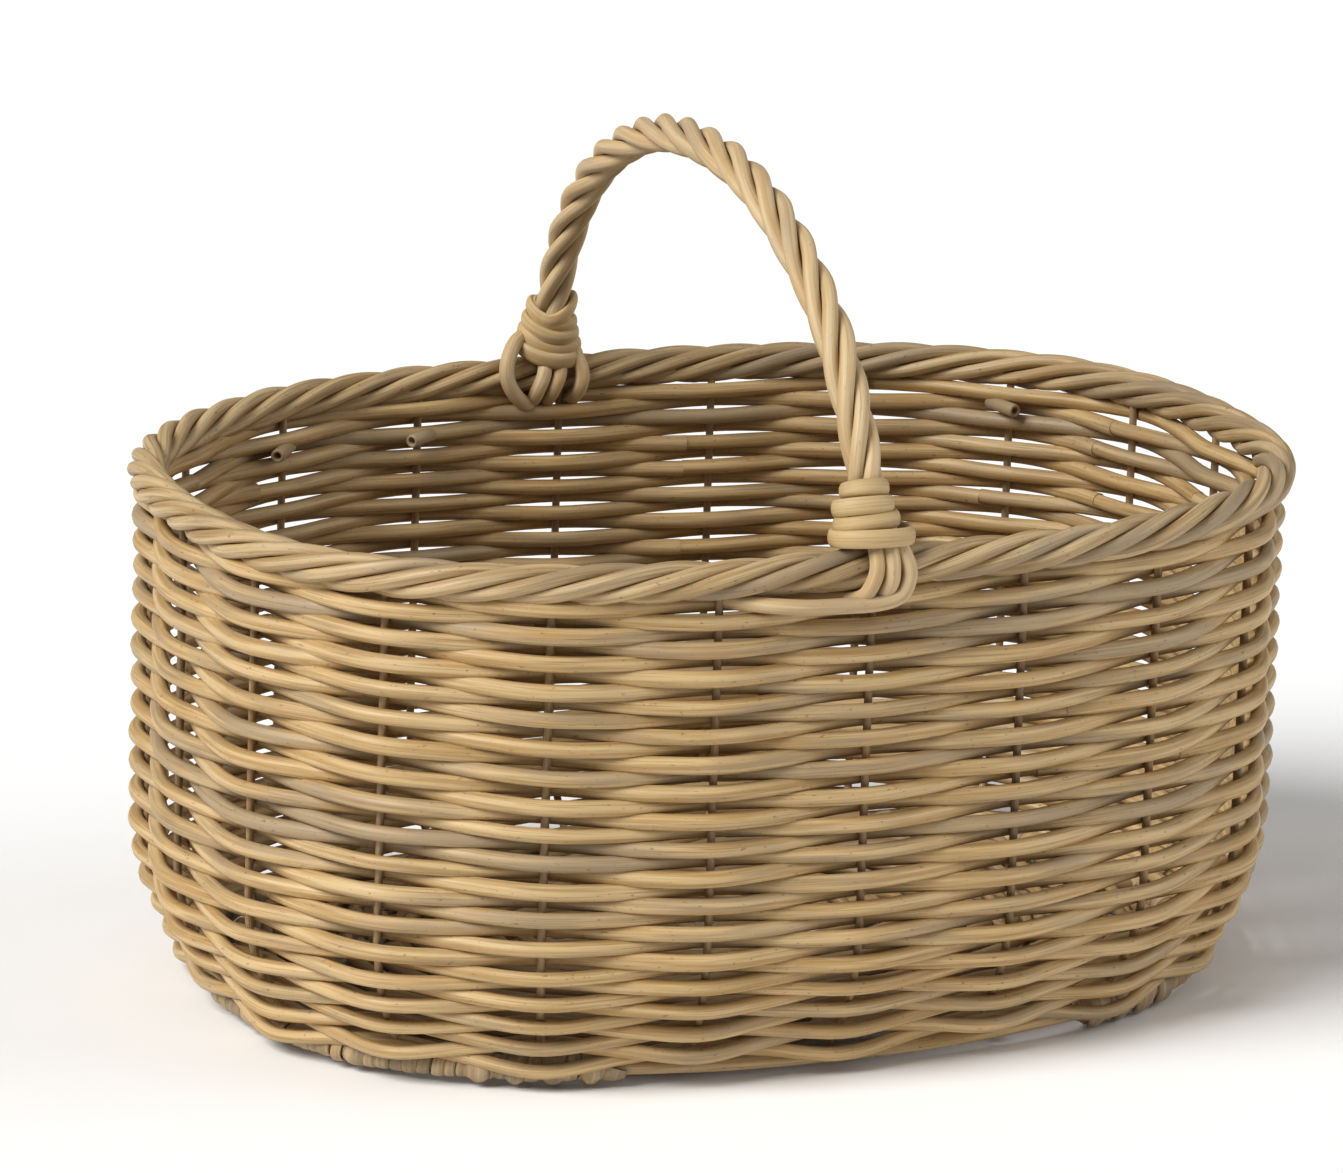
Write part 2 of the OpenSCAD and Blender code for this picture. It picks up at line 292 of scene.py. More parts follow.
def rod_tree():
    """Geometry nodes that grow a rod round every chain of edges."""
    tree = bpy.data.node_groups.new("cane rods", "GeometryNodeTree")
    face = tree.interface
    face.new_socket("Geometry", in_out="INPUT", socket_type="NodeSocketGeometry")
    for label, kind, value in (("Sides", "NodeSocketInt", 12), ("Flatness", "NodeSocketFloat", 1.0),
                               ("Unevenness", "NodeSocketFloat", 0.0),
                               ("Edge On", "NodeSocketBool", False)):
        face.new_socket(label, in_out="INPUT", socket_type=kind).default_value = value
    face.new_socket("Material", in_out="INPUT", socket_type="NodeSocketMaterial")
    face.new_socket("Geometry", in_out="OUTPUT", socket_type="NodeSocketGeometry")
    g = Graph(tree)
    given = tree.nodes.new("NodeGroupInput")
    take = {s.name: Link(g, s) for s in given.outputs if s.name}

    def named(key, kind="FLOAT"):
        return g.node("GeometryNodeInputNamedAttribute", {"data_type": kind}, {"Name": key})

    chains = g.node("GeometryNodeMeshToCurve", None, {"Mesh": take["Geometry"]})
    facing = g.node("GeometryNodeSetCurveNormal", {"mode": "FREE"},
                    {"Curve": chains, "Selection": take["Edge On"],
                     "Normal": named("side", "FLOAT_VECTOR")})
    ring = g.node("GeometryNodeCurvePrimitiveCircle", None, {"Resolution": take["Sides"], "Radius": 1.0})
    stretch = g.node("ShaderNodeCombineXYZ", None, {"X": take["Flatness"], "Y": 1.0, "Z": 1.0})
    oval_ring = g.node("GeometryNodeTransform", None, {"Geometry": ring, "Scale": stretch})
    turn = g.node("GeometryNodeSplineParameter") * TAU
    around = g.node("ShaderNodeCombineXYZ", None,
                    {"X": turn.maths("COSINE", turn), "Y": turn.maths("SINE", turn)})
    marked = g.node("GeometryNodeStoreNamedAttribute",
                    {"data_type": "FLOAT_VECTOR", "domain": "POINT"},
                    {"Geometry": oval_ring, "Name": "around", "Value": around})
    skin = g.node("GeometryNodeCurveToMesh", None,
                  {"Curve": facing, "Profile Curve": marked, "Scale": named("thick"),
                   "Fill Caps": True})
    lie = g.node("ShaderNodeVectorMath", {"operation": "SCALE"},
                 {0: named("around", "FLOAT_VECTOR"), "Scale": named("thick")})
    grain = g.node("ShaderNodeVectorMath", {"operation": "ADD"},
                   {0: lie, 1: g.node("ShaderNodeCombineXYZ", None, {"Z": named("run")})})
    grained = g.node("GeometryNodeStoreNamedAttribute",
                     {"data_type": "FLOAT_VECTOR", "domain": "POINT"},
                     {"Geometry": skin, "Name": "grain", "Value": grain})
    lumps = g.noise(g.scaled(named("grain", "FLOAT_VECTOR"), (160.0, 160.0, 70.0))) - 0.5
    push = g.node("ShaderNodeVectorMath", {"operation": "SCALE"},
                  {0: g.node("GeometryNodeInputNormal"), "Scale": lumps * take["Unevenness"]})
    uneven = g.node("GeometryNodeSetPosition", None, {"Geometry": grained, "Offset": push})
    smooth = g.node("GeometryNodeSetShadeSmooth", None, {"Geometry": uneven, "Shade Smooth": True})
    real = g.node("GeometryNodeRealizeInstances", None, {"Geometry": smooth})
    done = g.node("GeometryNodeSetMaterial", None, {"Geometry": real, "Material": take["Material"]})
    tree.links.new(done.socket, tree.nodes.new("NodeGroupOutput").inputs[0])
    return tree


def set_inputs(modifier, values):
    """Sets a geometry nodes modifier's inputs by their sockets' identifiers."""
    by_name = {i.name: i.identifier for i in modifier.node_group.interface.items_tree
               if i.in_out == "INPUT"}
    for label, value in values.items():
        modifier[by_name[label]] = value


def add_piece(name, mesh, nodes):
    """Puts a finished mesh in the scene as a piece that stands for CAD nodes."""
    piece = bpy.data.objects.new(name, mesh)
    bpy.context.collection.objects.link(piece)
    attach(piece, "root")
    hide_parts(*nodes)
    return piece


def lay_rods(name, rods, material, nodes, sides=12, flatness=1.0, uneven=0.0003):
    """Grows rods along their paths and keeps the result as one plain mesh."""
    source = bpy.data.objects.new(name + "_paths", rods_mesh(name + "_paths", rods))
    bpy.context.collection.objects.link(source)
    grow = source.modifiers.new("rods", "NODES")
    grow.node_group = ROD_TREE
    set_inputs(grow, {"Sides": sides, "Flatness": flatness, "Unevenness": uneven,
                      "Edge On": flatness != 1.0, "Material": material})
    graph = bpy.context.evaluated_depsgraph_get()
    mesh = bpy.data.meshes.new_from_object(source.evaluated_get(graph), depsgraph=graph)
    mesh.name = name
    source.modifiers.remove(grow)
    bpy.data.objects.remove(source)
    return add_piece(name, mesh, nodes)


# ---------------------------------------------------------------- materials
def shader_graph(name):
    material = bpy.data.materials.new(name)
    material.use_nodes = True
    graph = Graph(material.node_tree)
    return material, graph, material.node_tree.nodes["Principled BSDF"]


def feed(graph, shader, **links):
    for key, value in links.items():
        socket = shader.inputs[key.replace("_", " ")]
        if isinstance(value, Link):
            graph.tree.links.new(value.socket, socket)
        else:
            socket.default_value = value


def rgb(r, g, b):
    return (r, g, b, 1.0)


def cane(name, pale, warm, grey, speck=0.5, streak=1.0, rough=0.50):
    """Rod with lengthwise grain, soft grey patches and small dark specks."""
    material, g, shader = shader_graph(name)
    grain = g.node("ShaderNodeAttribute", {"attribute_name": "grain"}, out=1)
    tone = g.node("ShaderNodeAttribute", {"attribute_name": "tone"}, out=2)
    fine = g.noise(g.scaled(grain, (1700.0, 1700.0, 26.0)), 3.0, 0.65)
    broad = g.noise(g.scaled(grain, (420.0, 420.0, 15.0)), 3.0, 0.6)
    patch = g.noise(g.scaled(grain, (130.0, 130.0, 20.0)), 2.0, 0.6)
    dots = g.noise(g.scaled(grain, (640.0, 640.0, 300.0)), 2.0, 0.7)
    colour = g.mix(broad.between(0.38, 0.64), pale, warm)
    greyed = (patch * 1.1 + tone * 0.45 + broad * 0.4).between(0.80, 1.22)
    colour = g.mix(greyed * 0.85, colour, grey)
    lines = fine.between(0.50, 0.72) * (0.50 * streak)
    colour = g.mix(lines, colour, tuple(0.42 * c for c in warm[:3]) + (1.0,))
    dark = dots.between(0.64, 0.74) * speck
    colour = g.mix(dark, colour, rgb(0.075, 0.043, 0.020))
    height = fine * 0.5 + broad * 0.5
    bump = g.node("ShaderNodeBump", None, {"Strength": 0.35, "Distance": 0.0006, "Height": height})
    feed(g, shader, Base_Color=colour, Roughness=rough + 0.16 * (fine - 0.5), Normal=bump)
    shader.inputs["Specular IOR Level"].default_value = 0.5
    return material


def pale_floor():
    material, g, shader = shader_graph("pale floor")
    feed(g, shader, Base_Color=rgb(0.93, 0.93, 0.93), Roughness=0.9)
    return material


# ---------------------------------------------------------------- wall
def near_left(s):
    """1 round the basket's left end, 0 at its middle and right."""
    stakes = np.mod(s, border.length) / STEP
    return eased((stakes - 9.2) / 2.6) * (1 - eased((stakes - 16.5) / 2.7))


def row_rise(s, z):
    """How far the rows run up round the basket's left end, where the top ones crowd together."""
    heights = (0.02, 0.15, BORDER_Z)
    rises = (0, 0.0074, 0.0018)
    return near_left(s) * np.interp(z, heights, rises)


def weave(s, sign, reach, low):
    """How far a row stands outside the wall's middle as it passes the stakes in and out."""
    turn = np.pi * stakes_passed(s)
    out = sign * reach * (np.cos(turn) + 0.07 * np.cos(3 * turn)) / 1.07
    return out * (1 - 0.2 * low) + low * (LOW_OUT + LOW_BULGE * np.clip(out / reach, 0, 1))


def weaver_rods(index):
    """One row: a few rods end to end, outside one stake and inside the next."""
    z_row = middle_z(ROW_NODES[index])
    low = max(0, 1 - index / SPREAD_ROWS)
    packed = min(1.0, index / PACKED_ROWS)
    sign = 1 if (len(ROW_NODES) - 1 - index) % 2 == 0 else -1
    own = np.random.default_rng(700 + index)
    count = int(own.integers(1, 4))
    # joints lie just past a stake that the row passes on the inside
    inner = [k for k in range(STAKES) if (k % 2 == 1) == (sign == 1)]
    joints = np.sort(own.choice(inner, count, replace=False)) + own.uniform(0.05, 0.3, count)
    rods = []
    for j in range(count):
        s0 = joints[j] * STEP
        s1 = (joints[(j + 1) % count] + (STAKES if j == count - 1 else 0)) * STEP + JOINT_LAP
        n = max(12, int(round((s1 - s0) / STEP * 12)))
        s = np.linspace(s0, s1, n + 1)
        u = (s - s0) / (s1 - s0)
        size = (LOW_ROD_R + (ROD_R - LOW_ROD_R) * packed) * own.uniform(0.93, 1.07)
        thick = size * (1.04 - 0.08 * u) * (1 + 0.03 * wandering(own, s, 0.05))
        out = weave(s, sign, (STAKE_R + size) * 0.98, low)
        sway = 0.0005 * smooth_noise(11, s + index * 0.013, 0.09)
        sway = sway + 0.0003 * wandering(own, s, 0.04)
        tone = np.clip(own.beta(1.1, 2.7) + 0.22 * wandering(own, s, 0.12), 0, 1)
        z = z_row + row_rise(s, z_row) + sway
        points = wall_point(s, z, out)
        points[:, :2] += border.outward(s) * LOW_PUSH * low
        rods.append(rod(points, thick, tone, index * 5 + j))
    return rods


def side_stake(k):
    low_end, high_end = frame_high.z - 0.001, BORDER_Z - 0.004
    z = np.concatenate([np.linspace(low_end, TURN_TOP, 10)[:-1],
                        np.linspace(TURN_TOP, high_end, 16)])
    s = np.full_like(z, STAKE_PLACES[k])
    own = np.random.default_rng(90 + k)
    return rod(wall_point(s, z), STAKE_R * own.uniform(0.95, 1.05), own.uniform(0.2, 0.9), 300 + k)


# ---------------------------------------------------------------- border
def border_rod(strand, turn):
    """One rod of the border: it comes out under the outside, goes over the top and ends inside."""
    n = 40
    lead = 0.12     # part of a lap that the rod runs on at either end, under its neighbours
    laps = np.linspace(turn - lead, turn + 1 + lead, n + 1)
    angle = TAU * laps - TAU / 4
    s = (laps - strand / BORDER_RODS) * border.length / BORDER_TWISTS
    own = np.random.default_rng(2000 + strand * 50 + turn)
    u = np.linspace(0, 1, n + 1)
    size = BORDER_ROD_R * own.uniform(0.93, 1.07)
    thick = size * (1.05 - 0.14 * u)
    tuck = 1 - 0.35 * np.clip(1 - np.minimum(u, 1 - u) / 0.1, 0, 1)
    lay = BORDER_LAY_R * tuck * (1 + 0.05 * wandering(own, s, 0.03))
    xy = border.at(s) + border.outward(s) * (lay * np.cos(angle))[:, None]
    z = BORDER_Z + lay * np.sin(angle) + 0.0008 * smooth_noise(5, s, 0.11)
    tone = np.clip(own.beta(1.5, 1.8) + 0.15 * wandering(own, s, 0.05), 0, 1)
    # painted light: round the left end the border's rods lose their grey and turn paler, standing in for
    # the stronger light that falls on that end
    tone = tone * (1 - 0.8 * near_left(s))
    return rod(np.concatenate([xy, z[:, None]], -1), thick, tone, 400 + strand * 13 + turn)


def border_core_rod():
    s = np.linspace(0, border.length, 241)
    xy = border.at(s)
    return rod(np.concatenate([xy, np.full((len(s), 1), BORDER_Z)], -1), BORDER_CORE_R, 0.6, 390)


# ---------------------------------------------------------------- handle
NECK_RISE = 0.020        # height above the border at which the rope starts
TIGHTER_TOP = 0.05       # how much tighter the rope's lay is at the top


def arch(t):
    """Middle line of the handle, its outward direction and its course, front foot (0) to back (pi)."""
    t = np.asarray(t, float)
    zero = np.zeros_like(t)
    point = np.stack([zero + HANDLE_X, -HALF_WIDTH * np.cos(t),
                      BORDER_Z + HANDLE_RISE * np.sin(t)], -1)
    d = np.stack([zero, HALF_WIDTH * np.sin(t), HANDLE_RISE * np.cos(t)], -1)
    d /= np.linalg.norm(d, axis=-1, keepdims=True)
    return point, np.stack([zero, -d[..., 2], d[..., 1]], -1), d


def strand_rope(k):
    """The stretch of a strand that is laid up in the handle's rope."""
    start = math.asin(NECK_RISE / HANDLE_RISE)
    t = np.linspace(start, math.pi - start, 150)
    point, out, _ = arch(t)
    u = (t - start) / (math.pi - 2 * start)
    turn = TAU * (0.125 + k / STRANDS + HANDLE_TWISTS * (u - TIGHTER_TOP * np.sin(TAU * u) / TAU))
    squeezed = 1 - 0.13 * np.clip(1 - np.minimum(u, 1 - u) / 0.10, 0, 1)
    lay = STRAND_LAY_R * squeezed * (1 + 0.04 * smooth_noise(70 + k, t, 0.25))
    x = np.array([1.0, 0, 0])
    return point + (out * np.cos(turn)[:, None] + x * np.sin(turn)[:, None]) * lay[:, None]


def through(knots, steps=8):
    """Smooth points through a few knots."""
    k = np.asarray(knots, float)
    k = np.concatenate([[2 * k[0] - k[1]], k, [2 * k[-1] - k[-2]]])
    u = np.linspace(0, 1, steps, endpoint=False)[:, None]
    spans = [0.5 * (2 * k[i] + (k[i + 1] - k[i - 1]) * u
                    + (2 * k[i - 1] - 5 * k[i] + 4 * k[i + 1] - k[i + 2]) * u**2
                    + (3 * k[i] - k[i - 1] - 3 * k[i + 1] + k[i + 2]) * u**3)
             for i in range(1, len(k) - 2)]
    return np.concatenate(spans + [k[-2:-1]])


def at_foot(foot, knots):
    """Knots given as (along X, away from the basket's middle, above the border) in mm."""
    places = np.asarray(knots, float) / 1000
    return np.stack([HANDLE_X + places[:, 0], foot * (HALF_WIDTH + places[:, 1]),
                     BORDER_Z + places[:, 2]], -1)


def bridge(p0, before, p1, after, steps=9):
    """Smooth points between two ends of paths, without the ends themselves."""
    reach = np.linalg.norm(p1 - p0)
    d0 = (p0 - before) / np.linalg.norm(p0 - before) * reach
    d1 = (after - p1) / np.linalg.norm(after - p1) * reach
    u = np.linspace(0, 1, steps + 2)[1:-1, None]
    return ((2 * u**3 - 3 * u**2 + 1) * p0 + (u**3 - 2 * u**2 + u) * d0
            + (3 * u**2 - 2 * u**3) * p1 + (u**3 - u**2) * d1)


# The strands' ends, from the neck down, in mm from the border's middle at the foot: along X,
# away from the middle of the basket, and up. In front three pass outside the border, and the last
# of them turns aside along the top of the wall. At the back they all pass inside it.
FRONT_ENDS = (
    ((-5.5, -7.5, 9), (-6, -10.5, 1), (-6.5, -9, -7), (-7, -2, -11), (-7, 4, -11)),
    ((-1, 7, 9.5), (-1.4, 10.4, 3), (-3, 10.6, -3), (-6, 8.6, -8.5), (-10, 3, -11), (-13, -4, -10)),
    ((4.6, 7.5, 9.5), (4.6, 10.8, 3), (3.8, 10.8, -4), (1, 7, -10), (-2, 0, -11.5), (-3, -6, -10)),
    ((9, 6.5, 9.5), (11, 10, 3), (11, 11, -3), (7.5, 11.2, -9), (-1, 10.6, -11.4),
     (-14, 9.4, -11.6), (-28, 8.4, -11.2), (-40, 5.0, -10.4), (-50, -1.5, -9.8), (-57, -8, -9.6)),
)
BACK_ENDS = (
    ((-11, -1, 17), (-16, -4, 14.8), (-20.4, -8, 9.5), (-22, -10, 3), (-20, -10, -3.5),
     (-14.5, -8, -9.8), (-8, -3, -12.4), (-2, 3, -11)),
    ((-4, -6.6, 9.5), (-5.6, -10.2, 2), (-8.5, -10, -5), (-9, -5, -10), (-8, 3, -11)),
    ((1.5, -6.6, 9.5), (1.2, -10.3, 2), (-1.6, -10.4, -5), (-3, -5, -10.5), (-2, 3, -11)),
    ((9, -7, 9.5), (11, -10.4, 2), (10, -10.4, -5), (7.8, -5, -10.5), (7, 3, -11)),
)


def handle_strand(k):
    ropes = [strand_rope(j) for j in range(STRANDS)]
    rope = ropes[k]
    front_place = sorted(range(STRANDS), key=lambda j: ropes[j][0][0]).index(k)
    back_place = sorted(range(STRANDS), key=lambda j: ropes[j][-1][0]).index(k)
    front = through(at_foot(-1, FRONT_ENDS[front_place]))[::-1]
    back = through(at_foot(1, BACK_ENDS[back_place]))
    line = np.concatenate([
        front, bridge(front[-1], front[-2], rope[0], rope[1]), rope,
        bridge(rope[-1], rope[-2], back[0], back[1]), back])
    own = np.random.default_rng(3000 + k)
    s = np.arange(len(line)) * 0.0025
    tone = np.clip(0.2 + 0.15 * smooth_noise(60 + k, s, 0.08), 0, 1)
    return rod(line, STRAND_R * own.uniform(0.96, 1.04), tone, 500 + k)


def handle_bow_rod():
    t = np.linspace(0.12, math.pi - 0.12, 60)
    return rod(arch(t)[0], HANDLE_BOW_R, 0.6, 520)


# Each turn of the neck bindings from the lowest up, in mm: height above the border's middle, reach
# to either side, sideways shift, how far its left side is raised and its right side lowered, and
# how far both sides are raised.
FRONT_TURNS = ((12.2, 17.0, 0.2, 0.3, -0.4), (17.6, 12.9, -0.9, -0.9, -0.3),
               (23.3, 12.1, -2.6, 0.0, -0.3), (29.0, 9.6, -1.2, 0.3, 0.0))
BACK_TURNS = ((7.6, 14.8, -0.6, 3.2, 2.8), (13.0, 13.4, -0.5, 2.8, 2.4), (18.2, 12.2, 0.0, 2.8, 2.2),
              (23.2, 11.0, 0.3, 3.2, 2.6), (27.4, 10.2, 0.4, -2.2, 3.2))
CANE_T = 0.0017          # half of the neck binding's thickness
NECK_CANE_W = 0.0034     # half of its width
ROPE_R = 0.0086          # reach of the innermost turns towards the basket and away from it


def held(values, lap):
    """Values that hold while a turn passes in sight and change while it is out of sight."""
    v = np.asarray(values, float)
    at = np.clip(lap - 0.5, 0, len(v) - 1)
    i = np.minimum(at.astype(int), len(v) - 2)
    f = eased((at - i - 0.22) / 0.56)
    return v[i] * (1 - f) + v[i + 1] * f


def neck_cane(foot, turns, seed):
    """Half-round cane wound round a foot of the handle, each turn wider than the one above."""
    lap = np.linspace(0.06, len(turns) - 0.04, len(turns) * 44)
    # the turns change over where they are behind the foot, on the side away from the front left
    facing = math.radians(-20 if foot < 0 else 200)
    spin = TAU * (lap - 0.5) + facing
    rise, wide, shift, tilt, lift = (held(column, lap) / 1000 for column in zip(*turns))
    t = np.arcsin(np.clip(rise, 0, 0.1) / HANDLE_RISE)
    if foot > 0:
        t = math.pi - t
    point, out, along = arch(t)
    slack = 0.0005 * smooth_noise(seed, lap, 0.3)
    reach = wide - CANE_T + slack
    deep = ROPE_R + 0.6 * (reach - ROPE_R) + slack
    x = np.array([1.0, 0, 0])
    side = out * np.cos(spin)[:, None] + x * np.sin(spin)[:, None]
    line = point + out * (deep * np.cos(spin))[:, None] + x * (shift + reach * np.sin(spin))[:, None]
    line[:, 2] += -tilt * np.sin(spin) + lift * np.sin(spin - facing) ** 2
    line[:, 2] += 0.0005 * smooth_noise(seed + 5, lap, 0.4)
    thick = NECK_CANE_W * (1 + 0.07 * smooth_noise(seed + 2, lap, 0.3))
    return rod(line, thick, 0.15 + 0.15 * smooth_noise(seed + 1, lap, 0.4), 530 + seed, side)


# ---------------------------------------------------------------- base
def frame_line(s, out=0.0, z=0.0):
    xy = border.at(s) + border.outward(s) * (out - FRAME_SETBACK)[..., None]
    return np.stack([xy[..., 0] + BASE_X, xy[..., 1], FRAME_Z + z], -1)


def base_frame_rod():
    s = np.linspace(0, border.length, 241)
    to_middle = np.abs(np.mod(s + border.length / 4, border.length / 2) - border.length / 4)
    sag = 0.0016 * eased(1.2 - to_middle / 0.09)
    return rod(frame_line(s, np.zeros_like(s), -sag), FRAME_ROD_R, 0.25, 600)


FLAT_SPAN = 0.318        # length of frame under the flat laps of one binding
DEEP_WRAPS = 4           # slack laps at each end of a binding
DEEP_STEP = 0.0159       # from one slack lap to the next
BINDING_SHIFT = 0.009    # how far both bindings are turned round the base
WRAP_R = FRAME_ROD_R + 0.0008


def wrap_line(s, spin, r, down):
    """A lap round the frame: r out to its sides and top, and down below it."""
    drop = np.where(np.sin(spin) < 0, down, r)
    line = frame_line(s, r * np.cos(spin), drop * np.sin(spin))
    n = border.outward(s)
    side = np.stack([n[:, 0] * np.cos(spin), n[:, 1] * np.cos(spin), np.sin(spin)], -1)
    return line, side


def flat_wrap(middle, seed):
    """Split cane wound along the frame round one end of the base, uneven from lap to lap."""
    own = np.random.default_rng(seed)
    span = FLAT_SPAN + 2 * DEEP_WRAPS * DEEP_STEP
    pitch = []
    while sum(pitch) < span:
        pitch.append(own.uniform(0.0038, 0.0088))
    ends = np.arange(len(pitch) + 1)
    lap = np.linspace(0, len(pitch), len(pitch) * 22 + 1)
    s = middle - sum(pitch) / 2 + np.interp(lap, ends, np.concatenate([[0], np.cumsum(pitch)]))
    slant = np.interp(lap, ends, own.uniform(-0.09, 0.09, len(ends)))
    spin = TAU * (lap + slant)
    r = WRAP_R + 0.0010 * np.interp(lap, ends, own.uniform(0, 1, len(ends)) ** 2)
    line, side = wrap_line(s, spin, r, r)
    widths = np.concatenate([pitch, pitch[-1:]]) * 0.5 * own.uniform(0.85, 1.15, len(ends))
    width = np.interp(lap, ends, widths)
    return rod(line, width, 0.45 + 0.4 * smooth_noise(seed + 3, lap, 1.2), seed, side)


def deep_wrap(s0, half_width, blunt, seed):
    """A slack lap that bulges down to the ground, to a point or to a blunt bead."""
    own = np.random.default_rng(seed)
    spin = np.linspace(-1.25, TAU - 1.9, 56)
    s = s0 + (spin / TAU - 0.3) * own.uniform(0.001, 0.004)
    low = np.clip(-np.sin(spin), 0, 1)
    narrowed = np.clip((low - 0.45) / 0.55, 0, 1)
    width = half_width * own.uniform(0.9, 1.1) * (1 - (1 - blunt) * narrowed)
    down = FRAME_Z - 0.0012 - 0.0008 * own.uniform(0, 1)
    line, side = wrap_line(s, spin, WRAP_R + 0.0012, down)
    return rod(line, width, 0.6 + 0.3 * own.uniform(-1, 1), seed, side)


def foot_wraps(middle, half_width, blunt, seed):
    """One foot binding: flat laps, with slack ones at both ends."""
    first = FLAT_SPAN / 2 + DEEP_STEP / 2
    middle = middle + BINDING_SHIFT
    wraps = [flat_wrap(middle, seed)]
    for side in (-1, 1):
        for i in range(DEEP_WRAPS):
            place = middle + side * (first + i * DEEP_STEP)
            wraps.append(deep_wrap(place, half_width, blunt, seed + 20 + 5 * i + side))
    return wraps


CROSS_STICKS = range(-3, 4)      # named by the front stake that each one carries
LONG_STICKS = range(4, 7)        # named by the right-hand stake that each one carries
FIRST_ROUND = 0.0395             # from the border's oval in to the base's outermost round
ROUND_STEP = 0.0052


def stick_ends(k):
    """Where the stick that carries stake k ends (x, y) at the frame."""
    s = np.array(k * STEP)
    return border.at(s) - border.outward(s) * (FRAME_SETBACK + FRAME_HALF_W + 0.004)


def cross_stick(k):
    x, y = stick_ends(k)
    line = np.stack([np.full(30, x + BASE_X), np.linspace(y, -y, 30), np.full(30, BASE_Z)], -1)
    return rod(line, STICK_R, 0.5, 620 + k)


def long_stick(k):
    x, y = stick_ends(k)
    line = np.stack([np.linspace(-x, x, 40) + BASE_X, np.full(40, y), np.full(40, BASE_Z)], -1)
    return rod(line, STICK_R, 0.45, 640 + k)


def base_round(index):
    """One round of the base, over one stick and under the next."""
    inset = FIRST_ROUND + index * ROUND_STEP
    steps = 1440
    ring = Oval(HALF_LENGTH - inset, HALF_WIDTH - inset, steps)
    crossings = []
    for k in CROSS_STICKS:
        x = stick_ends(k)[0]
        if abs(x) < HALF_LENGTH - inset - 0.004:
            first = steps // 4
            i = np.argmin(np.abs(ring.x[first:3 * first] - x)) + first
            crossings += [ring.run[i], ring.length - ring.run[i]]
    for k in LONG_STICKS:
        y = stick_ends(k)[1]
        if abs(y) < HALF_WIDTH - inset - 0.004:
            i = np.argmin(np.abs(ring.y[:steps // 2] - y))
            crossings += [ring.run[i], ring.length - ring.run[i]]
    at = np.sort(np.mod(crossings, ring.length))
    keep = np.concatenate([[True], np.diff(at) > 0.002])
    at = at[keep]
    if len(at) % 2:
        at = at[:-1]
    knots = np.concatenate([at - ring.length, at, at + ring.length])
    s = np.linspace(0.0, ring.length, 220)
    phase = np.interp(s, knots, np.arange(len(knots)) + (index % 2))
    z = BASE_Z + (STICK_R + BASE_ROD_R) * 0.92 * np.cos(np.pi * phase)
    xy = ring.at(s) + np.array([BASE_X, 0.0])
    own = np.random.default_rng(4000 + index)
    return rod(np.concatenate([xy, z[:, None]], -1), BASE_ROD_R * own.uniform(0.95, 1.05),
               own.beta(1.3, 2.0), 660 + index)


# ---------------------------------------------------------------- cut rod ends
def tube_mesh(name, tubes, outer, bore, length):
    """Short hollow rod ends: each is a turned ring profile with a rounded rim and a deep bore."""
    # (distance along, radius): closed back end, outside, rounded rim, bore and its bottom
    profile = [(0.0, 0.0), (0.0, outer * 0.6), (0.0012, outer), (length - 0.0008, outer * 1.02),
               (length, outer * 0.94), (length, bore * 1.25), (length - 0.0010, bore),
               (length * 0.35, bore * 0.8), (length * 0.35, 0.0)]
    sides = 24
    points, faces = [], []
    for start, along in tubes:
        along = along.normalized()
        u = along.orthogonal().normalized()
        v = along.cross(u)
        base = len(points)
        for x, r in profile:
            for j in range(sides):
                a = TAU * j / sides
                points.append(start + along * x + (u * math.cos(a) + v * math.sin(a)) * r)
        for i in range(len(profile) - 1):
            for j in range(sides):
                a, b = base + i * sides + j, base + i * sides + (j + 1) % sides
                faces.append((a, b, b + sides, a + sides))
    mesh = bpy.data.meshes.new(name)
    mesh.from_pydata(points, [], faces)
    mesh.validate()
    return mesh


def cut_ends(material):
    """Three rod ends that stand out inside the back wall, just under the border."""
    # place in stakes from the front, depth under the border's middle, and which way the rod lies
    places = ((12.25, 0.0163, -1), (11.13, 0.0200, -1), (6.88, 0.0150, 1))
    tubes = []
    for steps, under, way in places:
        s = np.array(steps * STEP)
        z = np.array(BORDER_Z - under)
        tip = wall_point(s, z, np.array(-0.0125))
        back = wall_point(s + way * 0.018, z + 0.0008, np.array(-0.0030))
        tubes.append((Vector(back), Vector(tip) - Vector(back)))
    mesh = tube_mesh("weaver_butt_ends", tubes, CUT_END_R, CUT_BORE_R, CUT_LENGTH)
    bm = bmesh.new()
    bm.from_mesh(mesh)
    bmesh.ops.remove_doubles(bm, verts=bm.verts, dist=1e-5)
    bmesh.ops.recalc_face_normals(bm, faces=bm.faces)
    bm.to_mesh(mesh)
    bm.free()
    for face in mesh.polygons:
        face.use_smooth = True
    mesh.materials.append(material)
    add_piece("weaver_butt_ends", mesh, ["weaver_butt_ends"])


# ---------------------------------------------------------------- stage
def sun_light(name, toward, strength, softness):
    """Soft sun that shines from a direction; softness is its width in degrees."""
    data = bpy.data.lights.new(name, "SUN")
    data.energy = strength
    data.angle = math.radians(softness)
    light = bpy.data.objects.new(name, data)
    light.location = Vector(toward) * 2
    light.rotation_euler = Vector(toward).to_track_quat("Z", "Y").to_euler()
    bpy.context.collection.objects.link(light)


